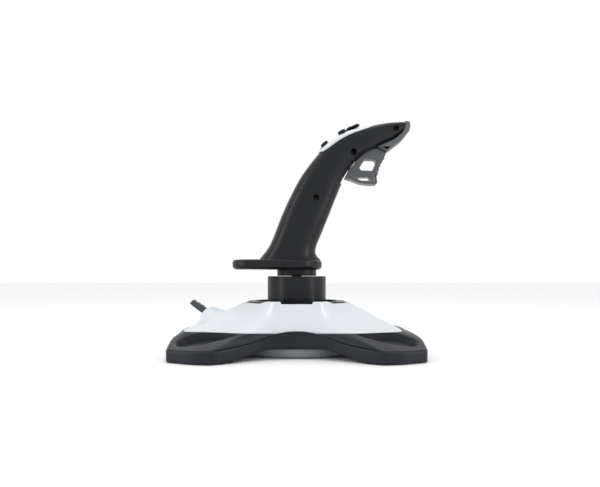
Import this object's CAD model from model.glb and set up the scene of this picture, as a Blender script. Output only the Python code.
import math

import bmesh
import bpy
import numpy as np
from mathutils import Matrix, Vector


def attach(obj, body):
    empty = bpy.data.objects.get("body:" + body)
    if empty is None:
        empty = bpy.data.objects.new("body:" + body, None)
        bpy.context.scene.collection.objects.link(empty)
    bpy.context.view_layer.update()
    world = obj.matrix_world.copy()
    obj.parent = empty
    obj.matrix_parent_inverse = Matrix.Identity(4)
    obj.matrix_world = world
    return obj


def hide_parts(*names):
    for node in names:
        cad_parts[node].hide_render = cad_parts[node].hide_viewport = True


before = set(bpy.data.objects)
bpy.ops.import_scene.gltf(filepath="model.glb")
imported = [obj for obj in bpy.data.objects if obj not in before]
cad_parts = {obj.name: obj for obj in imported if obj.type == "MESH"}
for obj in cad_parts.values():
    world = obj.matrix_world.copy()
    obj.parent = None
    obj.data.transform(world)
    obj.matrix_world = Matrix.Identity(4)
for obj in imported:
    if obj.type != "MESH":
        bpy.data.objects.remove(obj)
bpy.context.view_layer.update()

MM = 0.001
scene = bpy.context.scene

# ---------------------------------------------------------------- dimensions shared with the CAD (mm)
SHELL_TOP, SHELL_SHOULDER, SHELL_BOTTOM = 48.8, 23.4, 21.2
FRAME_Z0 = 0.7
THR_X, THR_Z, HUMP_R = -82.2, 29.2, 14.7
ARCH_R = (55.0 ** 2 + 10.3 ** 2) / (2 * 10.3)
WEB_Z0, WEB_Z1 = 9.0, 11.0
FEET = [(92, -74), (92, 74), (-92, -74), (-92, 74)]


def dense(pts, step=0.6):
    pts = np.asarray(pts, float)
    res = []
    for a, b in zip(pts, np.roll(pts, -1, 0)):
        n = max(1, int(np.linalg.norm((b - a)[:2]) / step))
        res.append(a + (b - a) * (np.arange(n) / n)[:, None])
    return np.vstack(res)


def smooth(pts, sigma, step=0.6):
    d = dense(pts, step)
    seg = np.linalg.norm(np.diff(np.vstack([d, d[:1]])[:, :2], axis=0), axis=1).mean()
    k = int(4 * sigma / seg) + 1
    w = np.exp(-0.5 * (np.arange(-k, k + 1) * seg / sigma) ** 2)
    w /= w.sum()
    return np.column_stack([np.convolve(np.concatenate([c[-k:], c, c[:k]]), w, "valid") for c in d.T])


def at_angles(curve, angles):
    a = np.degrees(np.arctan2(curve[:, 1], curve[:, 0])) % 360
    o = np.argsort(a)
    return np.column_stack([np.interp(angles % 360, a[o], c[o], period=360) for c in curve.T])


def inset(pts, d):
    t = np.roll(pts[:, :2], -1, 0) - np.roll(pts[:, :2], 1, 0)
    t /= np.maximum(np.linalg.norm(t, axis=1), 1e-9)[:, None]
    n = np.column_stack([-t[:, 1], t[:, 0]])
    res = pts.copy()
    res[:, :2] += n * (d[:, None] if np.ndim(d) else d)
    return res


near = [(108, 0, 21.3), (110, -30, 21.0), (114.2, -52, 17.5), (113, -79, 10.4), (88, -92, 10.9), (71, -95.3, 11.5),
        (64, -90, 12.0), (52, -81, 13.5), (40, -73, 15.6), (31, -67, 19.0), (20, -63.8, 22.8), (7, -62.6, 25.4)]
far = [(0, 87, 19.0), (25, 87.5, 17.5), (45, 89.5, 14.5), (60, 93, 12.5), (71, 95.3, 11.5), (88, 92, 10.9),
       (113, 79, 10.4), (114.2, 52, 17.5), (110, 30, 21.0)]
outline = [near[0]] + [(x, y, z) for x, y, z in far[::-1]] + [(-x, y, z) for x, y, z in far[1:]] + \
          [(-108, 0, 21.3)] + [(-x, y, z) for x, y, z in near[1:]] + [(x, y, z) for x, y, z in near[:0:-1]]
FRAME = smooth(outline, 3.2)
silver_near = [(100, 0), (99.5, -30), (97, -43), (90, -47), (76, -51), (60, -58), (46, -60.5), (20, -60.0)]
silver_far = [(0, 82), (22, 81.5), (45, 76), (62, 66), (76, 55), (90, 48), (97, 43), (99.5, 30)]
rear_near = [(108, 0), (107.5, -30), (104, -44), (96, -46.5), (84, -46), (68, -51), (46, -60.5), (20, -60.0)]
silver = [silver_near[0]] + silver_far[:0:-1] + [silver_far[0]] + \
         [(-x * (1.0 if x < 50 else 1.0 + 0.07 * (x - 50) / 50), y) for x, y in silver_far[1:]] + \
         [(-x, y) for x, y in rear_near] + [(x, y) for x, y in silver_near[:0:-1]]
SILVER = smooth(silver, 5.0)
oct_r = 51.6 / math.cos(math.radians(22.5))
TOPEDGE = smooth([(oct_r * math.cos(math.radians(22.5 + 45 * i)), oct_r * math.sin(math.radians(22.5 + 45 * i))) for i in range(8)], 3.0)

# ---------------------------------------------------------------- mesh helpers


def new_mesh(name, verts, faces, body, node=None, slot=None, mat=None, smooth_angle=35):
    me = bpy.data.meshes.new(name)
    me.from_pydata([tuple(v) for v in np.asarray(verts, float) * MM], [], faces)
    me.validate()
    me.update()
    ob = bpy.data.objects.new(name, me)
    scene.collection.objects.link(ob)
    bm = bmesh.new()
    bm.from_mesh(me)
    bmesh.ops.remove_doubles(bm, verts=bm.verts, dist=1e-6)
    bmesh.ops.recalc_face_normals(bm, faces=bm.faces)
    bm.to_mesh(me)
    bm.free()
    if mat is not None:
        me.materials.append(mat)
    shade(ob, smooth_angle)
    if node:
        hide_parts(*([node] if isinstance(node, str) else node))
    if body:
        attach(ob, body)
    return ob


def shade(ob, angle=35):
    """Smooth shading that keeps edges sharper than the angle."""
    me = ob.data
    me.polygons.foreach_set("use_smooth", [True] * len(me.polygons))
    bm = bmesh.new()
    bm.from_mesh(me)
    lim = math.radians(angle)
    for e in bm.edges:
        e.smooth = not (len(e.link_faces) == 2 and e.calc_face_angle(0) > lim)
    bm.to_mesh(me)
    bm.free()
    me.update()


def grid_faces(rows, cols, wrap_rows=False, wrap_cols=True):
    f = []
    for i in range(rows if wrap_rows else rows - 1):
        for j in range(cols if wrap_cols else cols - 1):
            a, b = i * cols + j, i * cols + (j + 1) % cols
            c, d = ((i + 1) % rows) * cols + (j + 1) % cols, ((i + 1) % rows) * cols + j
            f.append((a, b, c, d))
    return f


def cutter(name, verts, faces):
    me = bpy.data.meshes.new(name)
    me.from_pydata([tuple(v) for v in np.asarray(verts, float) * MM], [], faces)
    me.update()
    ob = bpy.data.objects.new(name, me)
    scene.collection.objects.link(ob)
    bm = bmesh.new()
    bm.from_mesh(me)
    bmesh.ops.recalc_face_normals(bm, faces=bm.faces)
    bm.to_mesh(me)
    bm.free()
    return ob


def lathe(profile, origin=(0, 0, 0), axis=(0, 0, 1), n=64, closed=True):
    """Verts and faces of a closed lathe: profile is (r, h) points from axis to axis, or a closed ring."""
    ax = Vector(axis).normalized()
    x = ax.orthogonal().normalized()
    y = ax.cross(x)
    o = Vector(origin)
    verts, faces = [], []
    for r, h in profile:
        for j in range(n):
            a = 2 * math.pi * j / n
            verts.append(tuple(o + ax * h + (x * math.cos(a) + y * math.sin(a)) * max(r, 0.0)))
    rows = len(profile)
    if profile[0][0] > 1e-6 and profile[-1][0] > 1e-6:
        faces = grid_faces(rows, n, wrap_rows=True)
    else:
        faces = grid_faces(rows, n)
    return verts, faces


def round_profile(pts, r, n=5, closed=False):
    """Rounds the corners of an (r, h) profile with arcs."""
    out = []
    m = len(pts)
    for i, p in enumerate(pts):
        if not closed and i in (0, m - 1):
            out.append(p)
            continue
        a, b, c = Vector(pts[i - 1]).to_2d(), Vector(p).to_2d(), Vector(pts[(i + 1) % m]).to_2d()
        u, v = a - b, c - b
        if u.length < 1e-9 or v.length < 1e-9:
            out.append(p)
            continue
        rr = min(r, u.length * 0.45, v.length * 0.45)
        p0, p1 = b + u.normalized() * rr, b + v.normalized() * rr
        for k in range(n + 1):
            t = k / n
            q = p0 * (1 - t) ** 2 + b * 2 * t * (1 - t) + p1 * t ** 2
            out.append((q.x, q.y))
    return out


def boolean(ob, tool, op="DIFFERENCE"):
    m = ob.modifiers.new("cut", "BOOLEAN")
    m.operation = op
    m.object = tool
    m.solver = "EXACT"
    bpy.context.view_layer.update()
    dg = bpy.context.evaluated_depsgraph_get()
    me = bpy.data.meshes.new_from_object(ob.evaluated_get(dg))
    ob.modifiers.clear()
    old = ob.data
    mats = list(old.materials)
    ob.data = me
    me.materials.clear()
    for q in mats:
        me.materials.append(q)
    bpy.data.objects.remove(tool)


def apply_mods(ob):
    bpy.context.view_layer.update()
    dg = bpy.context.evaluated_depsgraph_get()
    me = bpy.data.meshes.new_from_object(ob.evaluated_get(dg))
    ob.modifiers.clear()
    ob.data = me


def cyl_tool(r, p, d, h, n=48, chamfer=0.0):
    prof = [(0, 0), (r, 0), (r, h), (0, h)]
    v, f = lathe(prof, p, d, n)
    return cutter("tool", v, f)


# ---------------------------------------------------------------- materials


def plastic(name, color, rough=0.45, grain=900.0, bump=0.12, var=0.12, coat=0.0, metallic=0.0, spec=0.5, smudge=0.08, dust=0.0, sss=0.0):
    """Moulded plastic: fine spark-eroded grain, slow colour drift, uneven gloss, faint dust in the grain."""
    m = bpy.data.materials.new(name)
    m.use_nodes = True
    nt = m.node_tree
    N, L = nt.nodes, nt.links
    b = N["Principled BSDF"]
    tc = N.new("ShaderNodeTexCoord")
    big = N.new("ShaderNodeTexNoise")
    big.inputs["Scale"].default_value = 28.0
    big.inputs["Detail"].default_value = 4.0
    fine = N.new("ShaderNodeTexNoise")
    fine.inputs["Scale"].default_value = grain
    fine.inputs["Detail"].default_value = 3.0
    fine.inputs["Roughness"].default_value = 0.6
    L.new(tc.outputs["Object"], big.inputs["Vector"])
    L.new(tc.outputs["Object"], fine.inputs["Vector"])
    ramp = N.new("ShaderNodeValToRGB")
    c = np.array(color, float)
    lo, hi = c * (1 - var), np.minimum(c * (1 + var) + dust, 1)
    ramp.color_ramp.elements[0].position = 0.3
    ramp.color_ramp.elements[1].position = 0.7
    ramp.color_ramp.elements[0].color = (*lo, 1)
    ramp.color_ramp.elements[1].color = (*hi, 1)
    L.new(big.outputs["Fac"], ramp.inputs["Fac"])
    L.new(ramp.outputs["Color"], b.inputs["Base Color"])
    mr = N.new("ShaderNodeMapRange")
    mr.inputs["From Min"].default_value = 0.3
    mr.inputs["From Max"].default_value = 0.7
    mr.inputs["To Min"].default_value = max(rough - smudge, 0.02)
    mr.inputs["To Max"].default_value = min(rough + smudge, 1.0)
    L.new(big.outputs["Fac"], mr.inputs["Value"])
    L.new(mr.outputs["Result"], b.inputs["Roughness"])
    bp = N.new("ShaderNodeBump")
    bp.inputs["Strength"].default_value = bump
    bp.inputs["Distance"].default_value = 0.0002
    L.new(fine.outputs["Fac"], bp.inputs["Height"])
    L.new(bp.outputs["Normal"], b.inputs["Normal"])
    b.inputs["Metallic"].default_value = metallic
    b.inputs["Specular IOR Level"].default_value = spec
    if coat:
        b.inputs["Coat Weight"].default_value = coat
        b.inputs["Coat Roughness"].default_value = 0.12
    return m


def brushed(name, color, rough=0.3, metallic=1.0):
    """Zinc-plated or turned steel: fine streaks with uneven gloss."""
    m = plastic(name, color, rough, 500.0, 0.15, 0.15, metallic=metallic, smudge=0.12)
    N, L = m.node_tree.nodes, m.node_tree.links
    w = N.new("ShaderNodeTexWave")
    w.inputs["Scale"].default_value = 260.0
    w.inputs["Distortion"].default_value = 6.0
    w.inputs["Detail"].default_value = 3.0
    tc = [n for n in N if n.type == "TEX_COORD"][0]
    L.new(tc.outputs["Object"], w.inputs["Vector"])
    bp = [n for n in N if n.type == "BUMP"][0]
    L.new(w.outputs["Fac"], bp.inputs["Height"])
    return m


def board(name):
    m = plastic(name, (0.02, 0.10, 0.045), 0.35, 300.0, 0.2, 0.3)
    N, L = m.node_tree.nodes, m.node_tree.links
    v = N.new("ShaderNodeTexVoronoi")
    v.inputs["Scale"].default_value = 190.0
    v.distance = "MANHATTAN"
    tc = [n for n in N if n.type == "TEX_COORD"][0]
    L.new(tc.outputs["Object"], v.inputs["Vector"])
    ramp = N.new("ShaderNodeValToRGB")
    ramp.color_ramp.elements[0].position = 0.08
    ramp.color_ramp.elements[0].color = (0.45, 0.33, 0.10, 1)
    ramp.color_ramp.elements[1].position = 0.12
    ramp.color_ramp.elements[1].color = (0.015, 0.11, 0.04, 1)
    L.new(v.outputs["Distance"], ramp.inputs["Fac"])
    L.new(ramp.outputs["Color"], N["Principled BSDF"].inputs["Base Color"])
    return m


M = {
    "frame": plastic("frame_black_plastic", (0.012, 0.014, 0.019), 0.34, 1100, 0.10, 0.10, spec=0.18),
    "grip": plastic("grip_black_plastic", (0.009, 0.010, 0.012), 0.32, 1300, 0.14, 0.08, spec=0.20),
    "trim": plastic("trim_black_plastic", (0.007, 0.008, 0.010), 0.34, 1000, 0.08, 0.10, spec=0.16),
    "lever": plastic("lever_dark_grey_plastic", (0.045, 0.050, 0.056), 0.40, 1000, 0.08, 0.10, spec=0.35),
    "collar": plastic("collar_black_plastic", (0.010, 0.011, 0.013), 0.34, 1000, 0.10, 0.08, spec=0.18),
    "nose": plastic("nose_grey_plastic", (0.075, 0.08, 0.088), 0.40, 1100, 0.10, 0.08),
    "trigger": plastic("trigger_grey_plastic", (0.055, 0.060, 0.068), 0.34, 1100, 0.08, 0.10, spec=0.6),
    "silver": plastic("silver_satin_paint", (0.58, 0.62, 0.648), 0.36, 2200, 0.06, 0.015, metallic=0.10, coat=0.15, smudge=0.03),
    "pan": plastic("pan_grey_plastic", (0.17, 0.195, 0.205), 0.5, 900, 0.12, 0.08),
    "rubber": plastic("foot_rubber", (0.012, 0.012, 0.013), 0.75, 700, 0.3, 0.2),
    "inner": plastic("inner_black_plastic", (0.014, 0.014, 0.016), 0.5, 800, 0.15, 0.15),
    "screw": brushed("screw_zinc_steel", (0.42, 0.42, 0.43), 0.32),
    "blackscrew": brushed("screw_black_steel", (0.03, 0.03, 0.033), 0.38),
    "spring": brushed("spring_steel", (0.55, 0.55, 0.56), 0.25),
    "steel": brushed("ballast_steel", (0.35, 0.35, 0.36), 0.45),
    "board": board("circuit_board"),
}

# ---------------------------------------------------------------- base
NA = 720
A = np.arange(NA) * 360.0 / NA
FA, SA, TA = at_angles(FRAME, A), at_angles(SILVER, A), at_angles(TOPEDGE, A)


def ring_mesh(name, loops, **kw):
    """A closed ring of polar loops: each loop is NA points; the last loop joins the first."""
    v = np.vstack(loops)
    return new_mesh(name, v, grid_faces(len(loops), NA, wrap_rows=True), **kw)


def with_z(xy, z):
    return np.column_stack([xy[:, :2], np.full(len(xy), z) if np.ndim(z) == 0 else z])


def lerp(a, b, f):
    return a + (b - a) * (f[:, None] if np.ndim(f) else f)


def bump_fn(x, y, cx, cy, ax, ay, rot=0.0, p=2.0):
    c, s = math.cos(math.radians(rot)), math.sin(math.radians(rot))
    u, v = (x - cx) * c + (y - cy) * s, -(x - cx) * s + (y - cy) * c
    return np.exp(-(np.abs(u / ax) ** p + np.abs(v / ay) ** p))


# underside of the wall: an arch along the near side between the lobes
bottom_z = np.full(NA, FRAME_Z0)
mask = (FA[:, 1] < -40) & (np.abs(FA[:, 0]) < 55)
bottom_z[mask] = np.maximum(FRAME_Z0, 11.0 - ARCH_R + np.sqrt(ARCH_R ** 2 - FA[mask, 0] ** 2))


def deck(f):
    """Deck between the rim (f = 0) and the silver shell's edge (f = 1)."""
    edge = with_z(inset(SA, -1.2), 23.3)
    e = lerp(FA, edge, f)
    x, y = e[:, 0], e[:, 1]
    z = FA[:, 2] + (23.3 - FA[:, 2]) * (f ** 0.92 if f > 0 else 0)
    for sx in (-1, 1):
        for sy in (-1, 1):
            u, v = x - sx * 80.0, y - sy * (62.5 if sy < 0 else 69.0)
            ca, sa = math.cos(math.radians(-9.0 * sx * sy)), math.sin(math.radians(-9.0 * sx * sy))
            u, v = u * ca - v * sa, u * sa + v * ca
            b = np.where(u * sx < 0, 14.0 - 0.2 * np.abs(u), 14.0)
            r = (np.abs(u / 27.0) ** 2.4 + np.abs(v / b) ** 2.4) ** (1 / 2.4)
            t = np.clip((1.08 - r) / 0.26, 0, 1)
            m = t * t * (3 - 2 * t) * (0.0 if f < 0.08 else 1.0)
            z = z - m * np.maximum(z - (11.9 + 0.06 * np.clip(-u * sx, 0, 30)), 0)
    e[:, 2] = z
    return e


loops = []
fin = inset(FA, 3.0)
loops.append(with_z(fin, bottom_z))
loops.append(with_z(inset(FA, 0.7), bottom_z))
loops.append(with_z(inset(FA, 0.2), bottom_z + 0.2))
loops.append(with_z(FA, bottom_z + 0.7))
rim_z = FA[:, 2]
for t in (0.25, 0.5, 0.75):
    loops.append(with_z(FA, bottom_z + 0.7 + (rim_z - 1.5 - bottom_z - 0.7) * t))
for a in np.radians([0, 15, 30, 45, 60, 75]):
    loops.append(with_z(inset(FA, 1.5 * (1 - math.cos(a))), rim_z - 1.5 + 1.5 * math.sin(a)))
for f in np.linspace(0.03, 1.0, 70):
    f0 = f
    e = deck(f0)
    if f < 0.08:
        e[:, :2] = np.where(True, inset(FA, 1.5)[:, :2] * (1 - (f - 0.03) / 0.05) + e[:, :2] * ((f - 0.03) / 0.05), 0)
    loops.append(e)
loops.append(with_z(inset(SA, -0.9), 23.2))
loops.append(with_z(inset(SA, -0.35), 22.9))
loops.append(with_z(inset(SA, -0.3), 21.0))
loops.append(with_z(inset(SA, 3.0), 20.9))
loops.append(with_z(inset(SA, 3.0), 18.9))
loops.append(with_z(fin, np.maximum(rim_z - 3.4, bottom_z + 1.0)))
base = ring_mesh("base_frame_body", loops, body="base", node="base_frame", slot="frame_black", mat=M["frame"], smooth_angle=40)


def ell(a, b):
    t = np.radians(A)
    r = a * b / np.sqrt((b * np.cos(t)) ** 2 + (a * np.sin(t)) ** 2)
    return np.column_stack([r * np.cos(t), r * np.sin(t), np.zeros(NA)])


webloops = [with_z(ell(66, 53.6), WEB_Z0), with_z(ell(66, 53.6), WEB_Z1)]
wi = inset(FA, 2.0)
wr = np.minimum(WEB_Z1, FA[:, 2] - 1.2)
webloops += [with_z(lerp(ell(66, 53.6), wi, f), lerp(np.full((NA, 1), WEB_Z1), wr[:, None], f)[:, 0]) for f in (0.5, 1.0)]
webloops += [with_z(lerp(ell(66, 53.6), wi, f), np.minimum(WEB_Z0, wr - 1.5)) for f in (1.0, 0.5)]
web = ring_mesh("base_frame_floor", webloops, body="base", slot="frame_black", mat=M["frame"])
for i, (x, y) in enumerate(FEET):
    v, f = lathe(round_profile([(0, 0), (9.0, 0), (9.4, 9.0), (0, 9.0)], 0.6), (x, y, 1.7), (0, 0, 1), 48)
    new_mesh(f"foot_boss_{i + 1}", v, f, "base", slot="frame_black", mat=M["frame"])
    prof = round_profile([(0, 0.25), (5.2, 0.25), (5.5, 0.0), (6.8, 0.0), (7.0, 0.3), (7.0, 1.7), (0, 1.7)], 0.25, 3)
    v, f = lathe(prof, (x, y, 0), (0, 0, 1), 48)
    new_mesh(f"rubber_foot_{i + 1}", v, f, "base", node="rubber_feet" if i == 0 else None, slot="rubber_foot", mat=M["rubber"])

# silver shell
sw = np.sin(np.radians(A)) ** 2
HUMP_X = np.array([-110, -103, -100.8, -97, -94.1, -92.2, -89.3, -84.6, -79.8, -76.9, -71.2, -65.4, -60.6, -54.9, -51.75])
HUMP_Z = np.array([0, 22.5, 23.8, 28.1, 35.7, 39.6, 42.4, 43.6, 42.4, 41.0, 40.2, 40.7, 42.4, 46.2, 47.6])
ROW = np.argmin(np.abs(SA[:, 1]) + np.where(SA[:, 0] < 0, 0, 1000))
FF = np.linspace(0, 1, 80)
SLOPE = np.array([TA[ROW, 0] + (SA[ROW, 0] - TA[ROW, 0]) * f ** (1.0 + 0.35 * sw[ROW]) for f in FF])
SLOPE_Z = SHELL_TOP + (SHELL_SHOULDER - SHELL_TOP) * FF
OFF_Y = np.degrees(np.abs(np.arctan2(np.abs(SA[:, 0]), np.abs(SA[:, 1]))))
TAB_Z = np.clip((OFF_Y - 15.2) / 0.9, 0, 1) * (1 - np.clip((OFF_Y - 33.0) / 9.0, 0, 1)) * 2.2
TAB_IN = np.clip((OFF_Y - 15.2) / 0.9, 0, 1) * (1 - np.clip((OFF_Y - 35.0) / 1.2, 0, 1)) * 3.6


def swell(p, z):
    """Height with the throttle hump blended into the slope."""
    z = np.full(len(p), z, float)
    x, y = p[:, 0], np.abs(p[:, 1])
    d = np.interp(x, HUMP_X, HUMP_Z) - np.interp(x, SLOPE[::-1], SLOPE_Z[::-1])
    t = np.clip((30.0 - y) / 20.0, 0, 1)
    w = t * t * (3 - 2 * t)
    return z + np.where((x < -51.8) & (x > -102.5), np.maximum(d, 0) * w, 0)


def top(d, z):
    return with_z(inset(TA, d + TAB_IN * (1 if d > 1.5 else 0)), z + TAB_Z)


sl = []
sl.append(with_z(inset(TA, 2.6), 46.4))
sl.append(with_z(inset(TA, 2.3), 47.6))
for a in np.radians([0, 22, 45, 68, 90]):
    sl.append(top(2.3 - 1.1 * (1 - math.cos(a)) if a < 0.1 else 2.3 - 1.1 * (1 - math.cos(a)), 47.7 + 1.1 * math.sin(a)))
for a in np.radians([75, 60, 45, 30]):
    sl.append(top(1.1 - 1.1 * math.cos(a), 47.7 + 1.1 * math.sin(a)))
for f in np.linspace(0.035, 0.975, 90):
    e = 1.0 + 0.35 * sw
    p = lerp(TA, SA, f ** e)
    sl.append(with_z(p, swell(p, SHELL_TOP + (SHELL_SHOULDER - SHELL_TOP) * f) + TAB_Z * max(0.0, 1 - (f - 0.035) / 0.10)))
for a in np.radians([60, 40, 20, 0]):
    sl.append(with_z(inset(SA, 0.7 * (1 - math.cos(a))), SHELL_SHOULDER - 0.5 + 0.7 * math.sin(a)))
sl.append(with_z(SA, SHELL_BOTTOM))
sl.append(with_z(inset(SA, 2.2), SHELL_BOTTOM))
sl.append(with_z(inset(SA, 2.6), SHELL_SHOULDER - 1.5))
for f in np.linspace(0.94, 0.1, 40):
    p = inset(lerp(TA, SA, f ** (1.0 + 0.35 * sw)), 2.0)
    sl.append(with_z(p, swell(p, SHELL_TOP + (SHELL_SHOULDER - SHELL_TOP) * f - 1.6)))
shell = ring_mesh("silver_shell", sl, body="base", node="base_top_shell", slot="shell_silver", mat=M["silver"], smooth_angle=30)


def prism(pts, y0, y1):
    n = len(pts)
    v = [(x, y0, z) for x, z in pts] + [(x, y1, z) for x, z in pts]
    f = [tuple(range(n)), tuple(range(2 * n - 1, n - 1, -1))] + [(i, (i + 1) % n, n + (i + 1) % n, n + i) for i in range(n)]
    return v, f


fan = [(THR_X, THR_Z)] + [(THR_X - 24 * math.cos(math.radians(9 + 77 * i / 12)), THR_Z + 24 * math.sin(math.radians(9 + 77 * i / 12))) for i in range(13)]
boolean(shell, cutter("slot", *prism(fan, -6.3, 6.3)))
BN = Vector((0, 0.617, 0.787)).normalized()
BTN = [(x, y, z) for y, z in ((58.6, 40.6), (70.0, 31.4)) for x in (-21, 0, 21)]
for x, y, z in BTN:
    v, f = lathe([(0, -9), (6.5, -9), (6.5, 5), (0, 5)], (x, y, z), BN, 48)
    boolean(shell, cutter("hole", v, f))
shade(shell, 28)
for i, (x, y, z) in enumerate(BTN):
    prof = round_profile([(0, -5), (6.1, -5), (6.1, 2.1), (5.2, 2.35), (0, 1.7)], 0.7, 5)
    v, f = lathe(prof, (x, y, z), BN, 64)
    new_mesh(f"base_key_{i + 1}", v, f, f"base_button_{i + 1}", node=f"base_button_{i + 1}", slot="trim_black", mat=M["trim"])

# ---------------------------------------------------------------- grip
ST = np.array([
    (-38.0, 90.35, 24.2, 90.35, 21.0, 2.3), (-32.6, 96.8, 17.5, 96.6, 19.5, 2.3), (-27.0, 104.2, 19.3, 104.6, 18.6, 2.3),
    (-22.5, 115.0, 24.0, 115.0, 18.2, 2.3), (-16.75, 130.6, 30.25, 130.6, 18.0, 2.3), (-10.2, 146.0, 36.4, 146.0, 17.6, 2.3),
    (-3.6, 159.2, 42.0, 160.3, 17.4, 2.3), (2.25, 170.6, 47.0, 171.5, 17.6, 2.35), (9.25, 180.6, 51.85, 179.9, 18.2, 2.4),
    (17.7, 191.6, 56.15, 185.4, 19.0, 2.5), (26.25, 200.6, 60.45, 191.1, 19.5, 2.6), (36.0, 208.4, 67.0, 196.0, 19.5, 2.7),
    (46.25, 214.6, 74.5, 199.0, 19.0, 2.7), (58.0, 218.8, 83.25, 204.4, 17.6, 2.7), (72.0, 222.9, 91.25, 207.9, 15.6, 2.7),
    (86.25, 226.0, 97.5, 211.3, 13.6, 2.7), (97.0, 227.0, 102.5, 214.8, 12.2, 2.7), (105.6, 227.3, 105.0, 218.0, 11.0, 2.7)])
KF = np.linspace(0, 17, 17 * 40 + 1)


def _smooth_stations():
    res = []
    for c in ST.T:
        y = np.interp(KF, range(18), c)
        n = 80
        ext = np.concatenate([2 * y[0] - y[1:n + 1][::-1], y, 2 * y[-1] - y[-n - 1:-1][::-1]])
        w = np.exp(-0.5 * (np.arange(-n, n + 1) / 17.0) ** 2)
        res.append(np.convolve(ext, w / w.sum(), "valid"))
    return np.array(res)


SS = _smooth_stations()
SKEW = np.interp(KF, [0, 2, 5, 9, 12, 17], [0.44, 0.40, 0.36, 0.38, 0.46, 0.5])


def sect(k, t, grow=0.0):
    """Point(s) of the grip's skin: k along the grip, t round it (0 at the front, 180 degrees at the back)."""
    bx, bz, fx, fz, w, e = (np.interp(k, KF, c) for c in SS)
    sk = np.interp(k, KF, SKEW)
    L = math.hypot(fx - bx, fz - bz)
    dx, dz = (fx - bx) / L, (fz - bz) / L
    ct, st = np.cos(t), np.sin(t)
    e_f, e_b = e - 0.12, e
    front = ct > 0
    ee = np.where(front, e_f, e_b)
    half = np.where(front, (1 - sk) * L + grow, sk * L + grow)
    u = sk * L + np.sign(ct) * np.abs(ct) ** (2 / ee) * half
    v = np.sign(st) * np.abs(st) ** (2 / ee) * (w + grow)
    return np.column_stack([bx + dx * u, v, bz + dz * u])


def grip_half(name, side, node):
    ks = np.concatenate([np.linspace(0, 9, 110), np.linspace(9, 17, 120)[1:]])
    nt = 90
    t = np.linspace(0, math.pi, nt + 1)
    t = t if side > 0 else -t
    rows = []
    for i, k in enumerate(ks):
        p = sect(k, t)
        p[:, 1] = np.where(np.abs(p[:, 1]) < 0.12, 0.12 * side, p[:, 1])
        # the parting line's small chamfer
        g = np.exp(-np.abs(p[:, 1]) / 0.25) * 0.22
        c = p.mean(axis=0)
        d = p - c
        d[:, 1] = 0
        ln = np.linalg.norm(d, axis=1)
        p = p - d / np.maximum(ln, 1e-6)[:, None] * g[:, None]
        rows.append(p)
    last = rows[-1]
    c = last.mean(axis=0)
    for s, dx in ((0.97, 0.35), (0.9, 0.6)):
        q = c + (last - c) * s
        q[:, 1] = np.where(np.abs(q[:, 1]) < 0.13, 0.12 * side, q[:, 1])
        q[:, 0] += dx * 0.3
        rows.append(q)
    n = nt + 1
    v = np.vstack(rows)
    R = len(rows)
    f = grid_faces(R, n, wrap_cols=False)
    f += [((i + 1) * n, (i + 1) * n + n - 1, i * n + n - 1, i * n) for i in range(R - 1)]
    f += [tuple(range(n)), tuple(range(R * n - 1, (R - 1) * n - 1, -1))]
    ob = new_mesh(name, v, f, "grip", node=node, slot="grip_black", mat=M["grip"])
    return ob


gr = grip_half("grip_shell_right", -1, "grip_right_half")
gl = grip_half("grip_shell_left", 1, "grip_left_half")
WELLS = [(18.75, 150.6), (55.3, 195.0), (97.05, 219.2)]
for (x, z), d in zip(WELLS, (7.4, 7.4, 7.4)):
    prof = [(0, 0), (3.05, 0), (3.05, 30), (0, 30)]
    boolean(gr, cutter("well", *lathe(prof, (x, -d, z), (0, -1, 0), 48)))
SEAM = [(47.6, 172.6), (51.85, 179.9), (56.15, 185.4), (60.45, 191.1), (63.95, 194.0), (70.25, 198.0), (77.15, 200.3), (83.25, 204.7),
        (91.25, 208.1), (96.75, 210.6), (103.75, 216.6), (105.25, 220.6), (106.25, 226.6)]


def shift_line(pts, d):
    p = np.array(pts)
    t = np.gradient(p, axis=0)
    t /= np.linalg.norm(t, axis=1)[:, None]
    return [tuple(q) for q in p + d * np.column_stack([-t[:, 1], t[:, 0]])]


slot = [(44.0, 166.0), (40.5, 168.5)] + shift_line(SEAM[:8], 6.6)[1:8] + [(88.0, 206.0), (92.0, 200.0), (70.0, 170.0)]
for ob in (gr, gl):
    boolean(ob, cutter("slot", *prism(slot, -6.9, 6.9)))
HN = Vector((-0.38, 0, 0.925)).normalized()
HC = Vector((57.6, 0, 218.4))
BU, BL = Vector((-0.465, 0, 0.885)).normalized(), Vector((-0.62, 0, 0.785)).normalized()
HEAD = [(Vector((45.6, -10.6, 213.0)), BU), (Vector((45.6, 10.6, 213.0)), BU), (Vector((29.3, -8.2, 202.0)), BL), (Vector((29.3, 8.2, 202.0)), BL)]
boolean(gl, cutter("thumb", *lathe([(0, 0), (5.5, 0), (5.5, 30), (0, 30)], (38, 8, 189), (0, 1, 0), 48)))
for ob in (gr, gl):
    shade(ob, 32)

# screws in the wells
for i, (x, z) in enumerate(WELLS):
    prof = round_profile([(0, 0), (1.4, 0), (1.4, 12), (2.7, 12), (2.7, 13.2), (1.3, 13.9), (0, 13.9)], 0.35, 4)
    v, f = lathe(prof, (x, 6.5, z), (0, -1, 0), 40)
    ob = new_mesh(f"grip_screw_{i + 1}", v, f, "grip", node="grip_screws" if i == 0 else None, slot="screw_steel", mat=M["blackscrew"])
    for a in (20 + 31 * i, 110 + 31 * i):
        c, s = math.cos(math.radians(a)), math.sin(math.radians(a))
        pts = [(-1.7, -0.28), (1.7, -0.28), (1.7, 0.28), (-1.7, 0.28)]
        q = [(x + c * px - s * pz, z + s * px + c * pz) for px, pz in pts]
        boolean(ob, cutter("cross", *prism(q, -9, -6.4)))
    shade(ob, 30)


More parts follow.
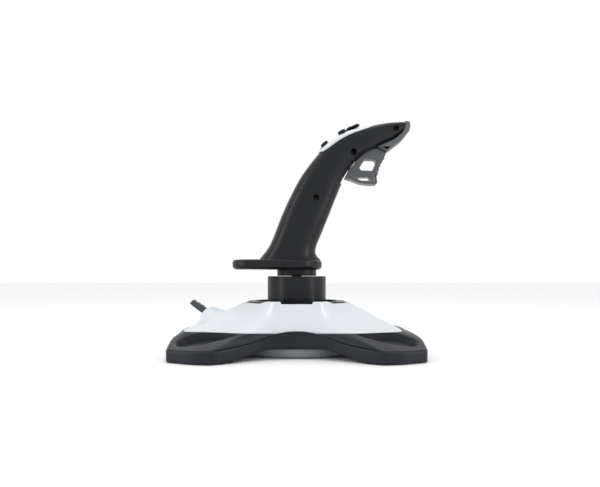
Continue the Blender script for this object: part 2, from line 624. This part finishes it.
def patch_shell(top, bot, rows, cols):
    """Closed solid between two grids of the same size."""
    v = np.vstack([top, bot])
    n = rows * cols
    f = grid_faces(rows, cols, wrap_cols=False)
    f += [tuple(n + i for i in q[::-1]) for q in grid_faces(rows, cols, wrap_cols=False)]
    edge = [j for j in range(cols)] + [i * cols + cols - 1 for i in range(1, rows)] + [(rows - 1) * cols + j for j in range(cols - 2, -1, -1)] + [i * cols for i in range(rows - 2, 0, -1)]
    for a, b in zip(edge, edge[1:] + edge[:1]):
        f.append((a, b, n + b, n + a))
    return v, f


# face plate
ks = np.linspace(9.55, 13.95, 90)
cols = 80
top, bot = [], []
for k in ks:
    kk = (k - 9.55) / 4.4
    wid = math.radians(60 - 4 * abs(2 * kk - 1) ** 6 * 3)
    t = np.linspace(math.pi - wid, math.pi + wid, cols)
    h = np.interp(k, [9.5, 10.2, 11, 12, 13, 13.7, 14.0], [1.6, 2.3, 2.6, 2.4, 1.9, 1.5, 1.2])
    e = np.minimum(1, np.minimum(np.arange(cols), np.arange(cols)[::-1]) / 5.0)
    e = np.minimum(e, min(1, (k - 9.55) / 0.12, (13.95 - k) / 0.12))
    e = np.sqrt(np.clip(1 - (1 - e) ** 2, 0, 1))
    s0 = sect(k, t, 0.3)
    s1 = sect(k, t, h)
    top.append(s0 + (s1 - s0) * (0.35 + 0.65 * e)[:, None])
    bot.append(s0)
v, f = patch_shell(np.vstack(top), np.vstack(bot), len(ks), cols)
plate = new_mesh("head_face_plate", v, f, "grip", node="face_plate", slot="shell_silver", mat=M["silver"])
for c, n in HEAD:
    boolean(plate, cutter("h", *lathe([(0, -8), (4.4, -8), (4.4, 9), (0, 9)], c, n, 48)))
boolean(plate, cutter("h", *lathe([(0, -8), (5.6, -8), (5.6, 9), (0, 9)], HC, HN, 64)))
shade(plate, 32)
for i, (c, n) in enumerate(HEAD):
    prof = round_profile([(0, -1.6), (4.05, -1.6), (4.05, 4.2), (3.4, 4.6), (0, 4.1)], 0.6, 5)
    v, f = lathe(prof, c, n, 56)
    new_mesh(f"head_key_{i + 1}", v, f, f"head_button_{i + 1}", node=f"head_button_{i + 1}", slot="trim_black", mat=M["trim"])
v, f = lathe(round_profile([(0, 0), (5.2, 0), (5.2, 10.1), (4.4, 10.9), (0, 10.2)], 0.8, 5), (38, 9.4, 189), (0, 1, 0), 56)
new_mesh("thumb_key", v, f, "thumb", node="thumb_button", slot="trim_black", mat=M["trim"])

# hat
HP = HC - HN * 5.5
prof = round_profile([(0, -3.0), (2.6, -3.0), (2.6, 8.5), (6.9, 9.1), (7.5, 9.7), (7.5, 10.4), (6.6, 11.2), (5.6, 11.0), (4.2, 10.3), (0, 10.0)], 0.35, 4)
v, f = lathe(prof, HP, HN, 96)
v = np.array(v)
hatx, haty = HN.orthogonal().normalized(), None
haty = HN.cross(hatx)
rel = v - np.array(HP)
hh = rel @ np.array(HN)
ang = np.arctan2(rel @ np.array(haty), rel @ np.array(hatx))
rr = np.hypot(rel @ np.array(hatx), rel @ np.array(haty))
v = v + np.outer(np.where((hh > 9.9) & (rr > 3.5), 0.35 * np.cos(4 * ang) * np.clip((rr - 3.5) / 2, 0, 1) * np.where(rr > 7.2, 0.2, 1), 0), np.array(HN))
new_mesh("hat_top", v, f, "hat", node="hat_cap", slot="trim_black", mat=M["trim"])

# nose trim and trigger: flat outlines with rounded edges


def rounded_plate(name, pts, holes, half_w, r, body, node, slot, mat, y_profile=None, seg=4, slot_name=None):
    """A plate between y = -half_w and +half_w from an outline and holes, its rims rounded by r."""
    cu = bpy.data.curves.new(name + "_c", "CURVE")
    cu.dimensions = "2D"
    cu.fill_mode = "BOTH"
    for loop in [pts] + holes:
        s = cu.splines.new("POLY")
        s.points.add(len(loop) - 1)
        for q, (x, z) in zip(s.points, loop):
            q.co = (x * MM, z * MM, 0, 1)
        s.use_cyclic_u = True
    cu.extrude = (half_w - r) * MM
    cu.bevel_depth = r * MM
    cu.bevel_resolution = seg
    cu.offset = -r * MM
    ob = bpy.data.objects.new(name + "_c", cu)
    scene.collection.objects.link(ob)
    bpy.context.view_layer.update()
    me = bpy.data.meshes.new_from_object(ob.evaluated_get(bpy.context.evaluated_depsgraph_get()))
    bpy.data.objects.remove(ob)
    n = len(me.vertices)
    co = np.empty(n * 3)
    me.vertices.foreach_get("co", co)
    co = co.reshape(-1, 3)
    xyz = np.column_stack([co[:, 0], co[:, 2], co[:, 1]]) / MM
    if y_profile is not None:
        xyz = y_profile(xyz)
    faces = [tuple(p.vertices)[::-1] for p in me.polygons]
    return new_mesh(name, xyz, faces, body, node=node, slot=slot_name or slot, mat=mat, smooth_angle=32)


def soft_poly(pts, sigma=0.5, step=0.25):
    return [tuple(p) for p in smooth(np.array(pts, float), sigma, step)]


nose_in = shift_line(SEAM[7:], -0.35)
nose_pts = [(89.0, 197.2), (93.25, 200.8), (98.25, 204.8), (103.25, 208.4), (107.25, 212.8), (111.0, 217.8), (112.15, 222.6), (111.9, 225.6), (110.6, 227.2), (106.6, 227.35)] + nose_in[::-1] + [(79.8, 201.7)]


def nose_width(p):
    """The cap follows the head: it narrows towards its rim."""
    x, y, z = p.T
    d = np.clip((x - 80) / 32, 0, 1)
    w = 1.18 - 0.10 * d
    front = np.clip((np.hypot(x - 100, z - 222) - 8) / 8, 0, 1)
    return np.column_stack([x, y * w * (1 - 0.10 * front), z])


trim = rounded_plate("nose_cap", soft_poly(nose_pts, 0.45), [], 9.2, 1.6, "grip", "nose_trim", "trim_grey", M["nose"], nose_width)
tin = shift_line(SEAM[:7], 0.4)
tin[2:5] = shift_line(SEAM[:7], -0.3)[2:5]
teeth = []
for x, z in ((78.85, 175.9), (79.95, 179.9), (81.75, 183.7), (83.95, 187.4)):
    teeth.append((x, z))
front_edge = [(88.3, 196.4), (88.0, 194.9)]
base_line = [(86.6, 192.4), (84.6, 189.6), (82.3, 185.6), (80.9, 181.8), (79.8, 177.9), (79.0, 173.9)]
pts_front = []
for a, b in zip(base_line, base_line[1:]):
    a, b = np.array(a), np.array(b)
    d = b - a
    nrm = np.array([-d[1], d[0]]) / np.linalg.norm(d)
    for s in np.linspace(0, 1, 9)[:-1]:
        pts_front.append(tuple(a + d * s + nrm * 1.15 * math.sin(math.pi * s) ** 0.8))
pts_front.append(base_line[-1])
trig_pts = [(47.2, 171.8)] + tin[1:] + [(79.2, 201.0)] + front_edge + pts_front + \
    [(79.2, 171.5), (79.7, 167.4), (79.2, 166.0), (77.65, 165.3), (70.55, 165.6), (63.95, 166.2), (60.45, 167.3), (54.75, 169.6)]
holes = [soft_poly(h, 0.55) for h in (
    [(67.65, 190.6), (77.15, 190.3), (78.85, 187.7), (75.65, 179.4), (74.25, 178.6), (63.65, 179.1), (61.95, 181.7)],
    [(59.15, 172.8), (71.35, 173.0), (73.25, 170.2), (73.35, 167.8), (70.85, 168.9), (63.35, 169.0), (60.45, 170.5)])]
holes.append(soft_poly([(76.3, 174.6), (77.9, 174.6), (77.9, 167.2), (76.3, 167.2)], 0.3, 0.15))
trig = rounded_plate("trigger_lever", soft_poly(trig_pts, 0.32, 0.2), holes, 6.5, 0.7, "trigger", "trigger", "trigger_grey", M["trigger"], None, 3)
arm = rounded_plate("trigger_arm", [(79.4, 199.0), (80.2, 213.2), (87.4, 213.6), (87.9, 196.0)], [], 4.2, 0.5, "trigger", None, "trigger_grey", M["trigger"])

# ---------------------------------------------------------------- hand rest, neck and collar


def hull_plan(n=360):
    c = [(-4.0, 0.0, 29.0), (-42.0, -14.0, 20.5)]
    pts = []
    for i in range(n):
        a = 2 * math.pi * i / n
        d = (math.cos(a), math.sin(a))
        x, y, r = max(c, key=lambda q: q[0] * d[0] + q[1] * d[1] + q[2])
        pts.append((x + r * d[0], y + r * d[1]))
    return np.array(pts)


plan = smooth(hull_plan(), 1.6)
ang2 = np.arange(240) * 1.5
plan = at_angles(plan - [-18, -5], ang2) + [-18, -5]
rows = []
cen = np.array([-4.0, 0.0])
prof = round_profile([(30, 80.95), (2.2, 80.95), (0.0, 83.2), (0.0, 88.6), (1.6, 90.25), (30, 90.25)], 1.5, 6)
rows = []
for d, z in prof:
    if d >= 20:
        p = cen + (plan - cen) * 0.2
    else:
        p = inset(plan, d)
    rows.append(np.column_stack([p, np.full(len(p), z)]))
n = len(ang2)
v = np.vstack(rows)
f = grid_faces(len(rows), n, wrap_rows=True)
rest = new_mesh("hand_rest_plate", v, f, "grip", node="hand_rest", slot="grip_black", mat=M["grip"])
v, f = lathe(round_profile([(6, 74.75), (19.5, 74.75), (19.5, 81.2), (6, 81.2)], 0.35, 3, closed=True), (0, 0, 0), (0, 0, 1), 160)
new_mesh("hand_rest_neck", v, f, "grip", slot="grip_black", mat=M["collar"])
prof = round_profile([(26.5, 46.2), (29.0, 46.2), (29.0, 74.4), (5.3, 74.4), (5.3, 71.9), (26.5, 71.9)], 0.7, 5, closed=True)
v, f = lathe(prof, (0, 0, 0), (0, 0, 1), 200)
new_mesh("collar_sleeve", v, f, "stick", node="collar", slot="collar_black", mat=M["collar"])

# bottom pan
pl = []
for a, b, z in ((0.3, 0.3, 2.6), (30, 25, 2.6), (59, 48, 2.6), (63.5, 52.5, 2.7), (67.6, 56.2, 6.2), (68, 56.6, 9.0), (69.7, 58.3, 9.0), (70.0, 58.6, 8.7), (70.0, 58.6, 6.2), (69.6, 58.3, 5.0),
                (68.6, 57.3, 2.0), (68.0, 56.7, 1.25), (67.0, 55.8, 0.88), (64, 52, 0.8), (40, 32, 0.8), (0.3, 0.3, 0.8)):
    pl.append(with_z(ell(a, b), z))
pan = ring_mesh("bottom_pan_body", pl, body="base", node="bottom_pan", slot="pan_grey", mat=M["pan"], smooth_angle=30)
for x, y in ((42, 20), (42, -20), (-42, 20), (-42, -20)):
    boolean(pan, cutter("w", *lathe([(0, -1), (3.2, -1), (3.2, 1.7), (0, 1.7)], (x, y, 0), (0, 0, 1), 32)))
shade(pan, 28)

# throttle lever: curved paddle with three grip ridges, its drum filling the slot
arm_pts = [(-105.4, 47.6), (-103.2, 50.8), (-91.25, 43.3), (THR_X + 4, THR_Z + 8), (THR_X - 6, THR_Z + 2), (-94.65, 38.4)]
d = np.array([-103.2 + 91.25, 50.8 - 43.3]); d /= np.linalg.norm(d)
up = np.array([-(-d[1]), d[0] * -1.0])
up = np.array([d[1], -d[0]])
top0 = np.array([-91.25, 43.3])
tp = []
for s in np.linspace(0, 1, 60):
    q = top0 + d * (14.1 * s)
    h = 0.0
    for c in (0.26, 0.58, 0.90):
        h = max(h, 0.6 * max(0, 1 - ((s - c) / 0.085) ** 2) ** 0.5)
    tp.append(tuple(q + up * h * 1.0))
lev = [(-94.65, 38.4), (-99.6, 42.6), (-104.9, 46.9)]
outline_l = [(THR_X - 4, THR_Z + 6), (-94.65, 38.4), (-99.9, 42.2), (-105.1, 46.5), (-105.9, 47.8)] + tp[::-1] + [(THR_X - 4, THR_Z + 8.5)]
rounded_plate("throttle_paddle", soft_poly(outline_l, 0.25, 0.15), [], 5.6, 0.8, "throttle", None, "lever_black", M["lever"])
v, f = lathe(round_profile([(3.2, -12), (11.3, -12), (11.3, 12), (3.2, 12)], 0.4, 3, closed=True), (THR_X, 0, THR_Z), (0, 1, 0), 120)
drum = new_mesh("throttle_drum", v, f, "throttle", node="throttle_lever", slot="lever_black", mat=M["trim"])
boolean(drum, cutter("b", *lathe([(0, 0), (30, 0), (30, 15), (0, 15)], (THR_X, 0, 0.5), (0, 0, 1), 24)))
shade(drum, 30)

# ---------------------------------------------------------------- CAD nodes that stay: procedural finishes
FINISH = {"dish_ring": "trim", "pan_screws": "screw", "ballast_plate": "steel", "main_circuit_board": "board", "base_button_board": "board",
          "gimbal_housing": "inner", "roll_sensor": "inner", "pitch_sensor": "inner", "gimbal_ring": "inner", "stick_shaft": "inner",
          "centring_spring": "spring", "spring_seat": "inner", "twist_sensor": "inner", "head_circuit_board": "board", "hat_switch_block": "inner",
          "hat_rocker": "inner", "trigger_pin": "screw", "trigger_switch": "inner", "throttle_bracket": "inner", "throttle_sensor": "inner",
          "cable_gland": "rubber"}
for node, key in FINISH.items():
    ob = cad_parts[node]
    for s in ob.material_slots:
        s.material = M[key]
    if not ob.material_slots:
        ob.data.materials.append(M[key])
    bv = ob.modifiers.new("edge", "BEVEL")
    bv.width = 0.00025
    bv.segments = 2
    bv.limit_method = "ANGLE"
    bv.angle_limit = math.radians(40)

# ---------------------------------------------------------------- stage, light, camera
fm = bpy.data.materials.new("stage_floor")
fm.use_nodes = True
fb = fm.node_tree.nodes["Principled BSDF"]
fb.inputs["Base Color"].default_value = (0.90, 0.90, 0.90, 1)
fb.inputs["Roughness"].default_value = 0.6
me = bpy.data.meshes.new("stage_floor")
S = 6.0
me.from_pydata([(-S, -S, 0), (S, -S, 0), (S, S, 0), (-S, S, 0)], [], [(0, 1, 2, 3)])
floor = bpy.data.objects.new("stage_floor", me)
me.materials.append(fm)
scene.collection.objects.link(floor)
scene.view_settings.view_transform = "Standard"

world = bpy.data.worlds.new("studio")
scene.world = world
world.use_nodes = True
bg = world.node_tree.nodes["Background"]
bg.inputs["Color"].default_value = (1, 1, 1, 1)
bg.inputs["Strength"].default_value = 1.0


def area(name, loc, target, size, size_y, power, color=(1, 1, 1)):
    li = bpy.data.lights.new(name, "AREA")
    li.shape = "RECTANGLE"
    li.size, li.size_y = size, size_y
    li.energy = power
    li.color = color
    ob = bpy.data.objects.new(name, li)
    ob.location = loc
    ob.rotation_euler = (Vector(target) - Vector(loc)).to_track_quat("-Z", "Y").to_euler()
    scene.collection.objects.link(ob)


def polar(az, r, z):
    """az from the camera's direction (-Y), positive to the right."""
    a = math.radians(az)
    return (r * math.sin(a), -r * math.cos(a), z)


area("soft_left", polar(-64, 1.0, 0.40), (0, 0, 0.12), 0.20, 0.9, 3.6)
area("soft_right", polar(64, 1.0, 0.40), (0, 0, 0.12), 0.20, 0.9, 3.6)
area("top", (0.0, 0.15, 1.1), (0, 0, 0), 0.9, 0.9, 2)

cam = bpy.data.cameras.new("camera")
cam.sensor_width = 36.0
cam.lens = 33.0
cam.shift_x = 3.25 / 600
cam.shift_y = 33.5 / 600 
cob = bpy.data.objects.new("camera", cam)
cob.location = (0, -0.55, 0.0736)
cob.rotation_euler = (math.radians(90), 0, 0)
scene.collection.objects.link(cob)
scene.camera = cob
